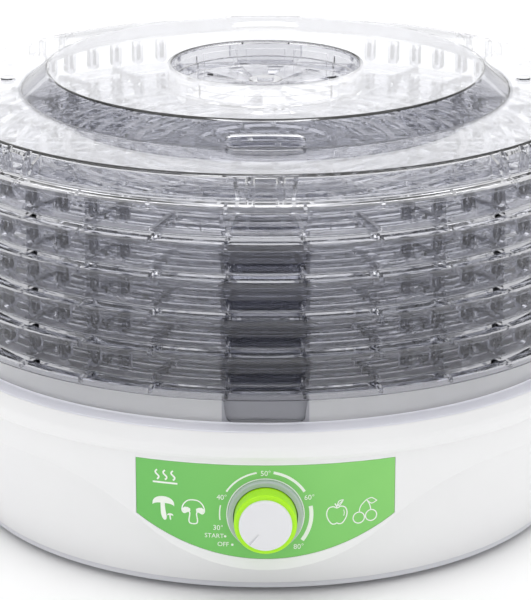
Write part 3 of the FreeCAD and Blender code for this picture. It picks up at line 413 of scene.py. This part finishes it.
def arc_of(radius, first, last, centre=(0.0, 44.0), count=28):
    """Points of a circle's arc between two angles in degrees, anticlockwise from the right."""
    angle = np.radians(np.linspace(first, last, count))
    return np.stack([centre[0] + radius * np.cos(angle), centre[1] + radius * np.sin(angle)], axis=1)


def lay_ink(name, points, faces):
    """Makes printed points and faces one piece, a film of ink that stands out from the panel."""
    mesh = bpy.data.meshes.new(name)
    mesh.from_pydata(np.concatenate(points).tolist(), [], faces)
    mesh.materials.append(white_ink)
    piece = bpy.data.objects.new(name, mesh)
    bpy.context.scene.collection.objects.link(piece)
    film = piece.modifiers.new("ink_film", "SOLIDIFY")
    film.thickness = film_thickness
    film.offset = 1.0
    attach(piece, "base")


def print_on_panel(name, patches):
    """Prints flat patches as one piece, with every face turned so that it points away from the panel."""
    points = []
    faces = []
    start = 0
    for flat, quads in patches:
        a, b, c = flat[quads[:, 0]], flat[quads[:, 1]], flat[quads[:, 2]]
        turn = (b[:, 0] - a[:, 0]) * (c[:, 1] - a[:, 1]) - (b[:, 1] - a[:, 1]) * (c[:, 0] - a[:, 0])
        quads = np.where((turn < 0)[:, None], quads[:, ::-1], quads)
        points.append(on_panel(flat[:, 0], flat[:, 1]))
        faces.append(quads + start)
        start += len(flat)
    lay_ink(name, points, np.concatenate(faces).tolist())


# ---- Printed scale round the knob ------------------------------------------------------------------
# Four arcs that get wider from cool to warm, with the temperatures between them, and two dots at the
# words for the knob's start and off places.
arcs = [
    line_of(arc_of(19.9, 188, 168), 0.55), line_of(arc_of(19.9, 148, 101), 0.8),
    line_of(arc_of(19.9, 80, 32), 1.25), line_of(arc_of(19.9, 11, -37), 1.75)]
dots = [
    patch_between(arc_of(0.55, 180, 360, place, 12), arc_of(0.55, 180, 0, place, 12))
    for place in ((-17.5, 33.7), (-14.4, 29.9))]
print_on_panel("print_scale_arcs", arcs + dots)
print_on_panel("print_dial_line", [line_of(arc_of(16.75, 0, 360, count=90), 0.5)])


def print_words(name, words):
    """Lettering: each word is made a flat mesh, and its points are laid on the panel's curved face."""
    points = []
    faces = []
    start = 0
    for text, size, across, up in words:
        curve = bpy.data.curves.new(name, "FONT")
        curve.body = text
        curve.size = size
        curve.align_x = "CENTER"
        curve.align_y = "CENTER"
        curve.resolution_u = 3
        letters = bpy.data.objects.new(name, curve)
        bpy.context.scene.collection.objects.link(letters)
        bpy.context.view_layer.update()
        flat = bpy.data.meshes.new_from_object(letters)
        bpy.data.objects.remove(letters)
        corners = np.zeros(len(flat.vertices) * 3)
        flat.vertices.foreach_get("co", corners)
        corners = corners.reshape(-1, 3)
        points.append(on_panel(corners[:, 0] + across, corners[:, 1] + up))
        faces += [[corner + start for corner in face.vertices] for face in flat.polygons]
        start += len(corners)
        bpy.data.meshes.remove(flat)
    lay_ink(name, points, faces)


print_words("print_temperatures", [
    ("30°", 3.3, -20.6, 37.5), ("40°", 3.3, -18.9, 51.7), ("50°", 3.3, 0.1, 63.2),
    ("60°", 3.3, 19.0, 51.7), ("80°", 3.3, 14.4, 29.0)])
print_words("print_start_and_off", [("START", 2.9, -22.3, 33.7), ("OFF", 2.9, -18.4, 29.9)])


# ---- Printed food pictures -------------------------------------------------------------------------
# Mushrooms on the left and fruit on the right, and a row of three heat waves above the mushrooms.
# Solid parts are patches between two lines; outlines are lines of one width.
def moved(points, across, up):
    """Points shifted by across and up."""
    return np.asarray(points, float) + np.array([across, up])


def bolete(across, up, size):
    """A solid mushroom: a domed cap and a stem that widens and leans as it goes down."""
    turn = np.linspace(0, math.pi, 24)
    dome = np.stack([-np.cos(turn) * 4.95, np.sin(turn) ** 0.85 * 3.7], axis=1)
    brim = np.stack([-np.cos(turn) * 4.95, 0.5 * np.sin(turn) - 0.7 * np.cos(turn) ** 4 + 0.1], axis=1)
    drop = np.linspace(0, 1, 12)
    left = np.stack([-1.3 + 0.25 * drop + 1.4 * drop ** 6, -7.9 * drop + 0.6], axis=1)
    right = np.stack([0.7 + 1.5 * drop ** 2 - 1.0 * drop ** 8, -7.7 * drop + 0.6], axis=1)
    return [patch_between(moved(low * size, across, up), moved(high * size, across, up))
            for low, high in ((brim, dome), (left, right))]


def outlined_cap(across, up):
    """An outlined mushroom cut in half: a round cap over a stem, with the gills at its sides."""
    outline = [
        (-5.0, 0.2), (-4.2, 2.9), (-1.9, 4.8), (1.9, 4.8), (4.2, 2.9), (5.0, 0.2), (4.0, -1.2), (2.2, -0.4),
        (1.5, -1.4), (1.9, -4.6), (1.2, -5.9), (-1.2, -5.9), (-1.9, -4.6), (-1.5, -1.4), (-2.2, -0.4),
        (-4.0, -1.2)]
    ring = moved(curve_through(outline, 40, True), across, up)
    gills = []
    for side in (-1, 1):
        low = np.array([(side * 1.3, -0.3), (side * 2.6, -0.9), (side * 4.0, -1.1), (side * 4.7, 0.0)])
        high = np.array([(side * 1.3, 0.9), (side * 2.4, 1.5), (side * 3.8, 1.6), (side * 4.8, 0.8)])
        gills.append(patch_between(moved(low, across, up), moved(high, across, up)))
    return [line_of(ring, 0.55)] + gills


def apple(across, up):
    """An apple in outline with a stalk and a leaf."""
    outline = [
        (0.0, 1.9), (1.7, 2.6), (3.6, 2.0), (4.5, -0.2), (4.0, -2.9), (2.4, -5.2), (0.9, -5.5), (0.0, -5.1),
        (-0.9, -5.5), (-2.4, -5.2), (-4.0, -2.9), (-4.5, -0.2), (-3.6, 2.0), (-1.7, 2.6)]
    stalk = [(0.0, 1.7), (-0.2, 2.8), (-0.9, 4.0)]
    leaf_low = curve_through([(0.1, 2.9), (1.4, 3.3), (2.9, 5.6)])
    leaf_high = curve_through([(0.1, 2.9), (0.9, 5.0), (2.9, 5.6)])
    shine = [(3.0, 0.9), (3.3, -0.6), (3.0, -1.9)]
    return [line_of(moved(curve_through(path, 40, path is outline), across, up), width) for path, width in (
        (outline, 0.5), (stalk, 0.6), (shine, 0.32))] + [
        line_of(moved(side, across, up), 0.42) for side in (leaf_low, leaf_high)] + [
        line_of(moved([(0.1, 2.9), (2.2, 4.9)], across, up), 0.3)]


def cherries(across, up):
    """Two cherries in outline on stalks that meet under a leaf."""
    rings = [
        arc_of(2.55, 90, 450, centre, 40)
        for centre in ((across - 2.8, up - 3.2), (across + 2.8, up - 2.6))]
    stalks = [[(-2.8, -0.9), (-1.9, 2.2), (0.6, 4.9)], [(2.7, -0.2), (2.0, 2.6), (0.6, 4.9)]]
    leaf_low = [(0.6, 4.9), (2.9, 3.0), (5.4, 4.0)]
    leaf_high = [(0.6, 4.9), (3.0, 5.5), (5.4, 4.0)]
    return [line_of(ring, 0.5) for ring in rings] + [
        line_of(moved(curve_through(path), across, up), width) for path, width in (
            (stalks[0], 0.45), (stalks[1], 0.45), (leaf_low, 0.42), (leaf_high, 0.42))]


def heat_waves(across, up):
    """A row of rising heat waves over a short bar."""
    waves = []
    for index in range(3):
        rise = np.linspace(0, 1, 24)
        sway = 0.8 * np.sin(rise * 2 * math.pi) + (index - 1) * 3.6
        wave = np.stack([sway, (rise - 0.35) * 4.4], axis=1)
        waves.append(line_of(moved(wave, across, up), 0.75))
    return waves + [line_of(moved([(-5.6, -2.9), (0.0, -2.9), (5.6, -2.9)], across, up), 0.8)]


print_on_panel(
    "print_mushrooms", bolete(-44.9, 46.6, 1.0) + bolete(-41.8, 41.6, 0.28) + outlined_cap(-31.5, 44.8))
print_on_panel("print_fruit", apple(31.1, 44.2) + cherries(43.7, 43.9))
print_on_panel("print_heat_waves", heat_waves(-44.0, 59.6))


# ---- Dial ring and knob ----------------------------------------------------------------------------
# A satin grey ring stands round the knob. The knob is a glossy lime skirt with a matt white cap
# pressed into it; the cap's pointer groove takes the same matt white.
dress(["dial_ring"], moulded(
    "dial_satin", colour(190, 200, 198), colour(174, 186, 184), 0.4, 0.00001, 0.2))
dress(["knob_skirt"], moulded(
    "skirt_lime", colour(186, 250, 0), colour(172, 242, 0), 0.36, 0.000006, 0.15))
dress(["knob_cap"], moulded(
    "cap_matt", colour(238, 238, 240), colour(228, 228, 232), 0.55, 0.00001))


# ---- Thermostat --------------------------------------------------------------------------------------
# A capillary-free bimetal thermostat with a phenolic body on a steel bracket; a steel nut holds
# its bush, and its steel shaft carries the knob.
dress(["thermostat_body"], moulded(
    "phenolic_black", colour(52, 50, 50), colour(36, 35, 36), 0.5, 0.00003))
dress(["thermostat_bracket"], metal(
    "bracket_steel", colour(196, 199, 204), colour(140, 144, 150), 0.38, 700.0, (1, 14, 1)))
dress(["thermostat_nut", "thermostat_shaft"], metal(
    "shaft_steel", colour(210, 212, 216), colour(156, 158, 166), 0.28, 800.0, (1, 1, 8)))


# ---- Motor and fan -----------------------------------------------------------------------------------
# A shaded-pole motor hangs under the duct: laminated iron with a copper coil, pressed brackets with
# sintered bushes, and a black fan held on the shaft by a clip.
dress(["motor_stator", "rotor_core"], metal(
    "lamination_iron", colour(128, 128, 134), colour(84, 84, 92), 0.45, 600.0, (1, 1, 40)))
dress(["motor_coil"], metal(
    "coil_copper", colour(214, 132, 88), colour(160, 84, 50), 0.3, 500.0, (1, 1, 30)))
dress(["motor_upper_bracket", "motor_lower_bracket", "motor_spacers"], metal(
    "pressed_steel", colour(196, 199, 204), colour(142, 146, 152), 0.36, 700.0, (1, 10, 1)))
dress(["motor_bushes"], metal(
    "sintered_bronze", colour(196, 150, 96), colour(140, 100, 62), 0.46, 1400.0, (1, 1, 1)))
dress(["fan_shaft", "fan_clip"], metal(
    "turned_steel", colour(214, 216, 220), colour(160, 162, 168), 0.24, 900.0, (1, 1, 12)))
dress(["fan_impeller"], moulded("fan_nylon", colour(58, 58, 62), colour(40, 40, 44), 0.46, 0.00003))


# ---- Heater and its wiring -----------------------------------------------------------------------------
# A spun aluminium duct holds a mica cross with rings of resistance wire; a thermal fuse in a sleeve
# and a ceramic-white terminal block belong to the same circuit.
dress(["heat_shield"], metal(
    "duct_aluminium", colour(206, 208, 212), colour(150, 152, 158), 0.34, 500.0, (1, 1, 20)))
dress(["heater_coil"], metal(
    "heater_wire", colour(150, 146, 142), colour(96, 90, 88), 0.4, 900.0, (1, 1, 1)))
dress(["heater_frame"], moulded(
    "mica_sheet", colour(198, 184, 150), colour(160, 144, 112), 0.4, 0.00004, 0.2))
dress(["thermal_fuse"], moulded(
    "fuse_sleeve", colour(222, 214, 196), colour(204, 192, 170), 0.6, 0.00003))
dress(["terminal_block"], moulded(
    "terminal_nylon", colour(232, 230, 224), colour(214, 212, 206), 0.5, 0.00003))


# ---- Floor, light and camera ---------------------------------------------------------------------------
# A white table under a white sky, a large soft light above and two softer ones at the front sides.
def floor_piece():
    """A flat round table top: rings of growing radius with a low lip at the outside."""
    rings = np.array([0.001, 0.4, 0.9, 1.6, 3.0, 6.0, 6.2])
    heights = np.array([0, 0, 0, 0, 0, 0, -0.02]) - 0.0002
    turn = np.linspace(0, 2 * math.pi, 96, endpoint=False)
    grid = np.stack([
        rings[:, None] * np.cos(turn), rings[:, None] * np.sin(turn), heights[:, None] + 0 * turn], axis=-1)
    count = len(turn)
    ring, step = np.meshgrid(np.arange(len(rings) - 1), np.arange(count), indexing="ij")
    after = (step + 1) % count
    faces = np.stack([
        ring * count + step, (ring + 1) * count + step, (ring + 1) * count + after, ring * count + after], axis=-1)
    mesh = bpy.data.meshes.new("floor")
    mesh.from_pydata(grid.reshape(-1, 3).tolist(), [], faces.reshape(-1, 4).tolist() + [list(range(count))])
    finish = Finish("floor_paper")
    fibre = finish.speckle(30.0, 3.0)
    mesh.materials.append(finish.done(finish.surface({
        "Base Color": finish.blended((fibre * 0.3).held(), (0.97, 0.97, 0.97, 1), (0.95, 0.95, 0.95, 1)),
        "Roughness": 0.8})))
    floor = bpy.data.objects.new("floor", mesh)
    bpy.context.scene.collection.objects.link(floor)


floor_piece()

world = bpy.data.worlds.new("white_studio")
bpy.context.scene.world = world
world.use_nodes = True
sky = world.node_tree
direction = sky.nodes.new("ShaderNodeTexCoord").outputs["Generated"]
axes = sky.nodes.new("ShaderNodeSeparateXYZ")
sky.links.new(direction, axes.inputs[0])
back = Signal(axes.outputs["Y"])
up = Signal(axes.outputs["Z"])
strength = 0.5 + ((back * 0.6 + up * 0.5 + 0.45).held()) * 0.45
sky.nodes["Background"].inputs[0].default_value = (0.995, 0.995, 1.0, 1)
sky.links.new(strength.socket, sky.nodes["Background"].inputs[1])


def softbox(name, place, target, size, watts):
    """A rectangular soft light at place, turned to face target."""
    lamp = bpy.data.lights.new(name, "AREA")
    lamp.shape = "RECTANGLE"
    lamp.size, lamp.size_y = size
    lamp.energy = watts
    box = bpy.data.objects.new(name, lamp)
    bpy.context.scene.collection.objects.link(box)
    away = np.array(place) - np.array(target)
    flat = math.hypot(away[0], away[1])
    box.location = place
    box.rotation_euler = (math.atan2(flat, away[2]), 0, math.atan2(away[0], -away[1]))


softbox("light_above", (0.0, 0.0, 2.0), (0, 0, 0.1), (2.6, 2.6), 26.0)
softbox("light_back", (0.0, 2.6, 1.15), (0, 0, 0.15), (3.0, 1.0), 6.0)
softbox("light_front_left", (-1.0, -1.5, 0.8), (0, 0, 0.08), (0.9, 0.9), 1.2)
softbox("light_front_right", (1.0, -1.5, 0.8), (0, 0, 0.08), (0.9, 0.9), 1.2)

lens = bpy.data.cameras.new("camera")
lens.lens = 176.1
lens.sensor_width = 36.0
lens.clip_start = 0.05
lens.clip_end = 30.0
camera = bpy.data.objects.new("camera", lens)
camera.location = (0.0, -1.334, 0.5286)
camera.rotation_euler = (math.radians(71.78), 0, 0)
bpy.context.scene.collection.objects.link(camera)
bpy.context.scene.camera = camera

scene = bpy.context.scene
scene.view_settings.view_transform = "Standard"
scene.cycles.max_bounces = 64
scene.cycles.transmission_bounces = 64
scene.cycles.glossy_bounces = 16
scene.cycles.diffuse_bounces = 4
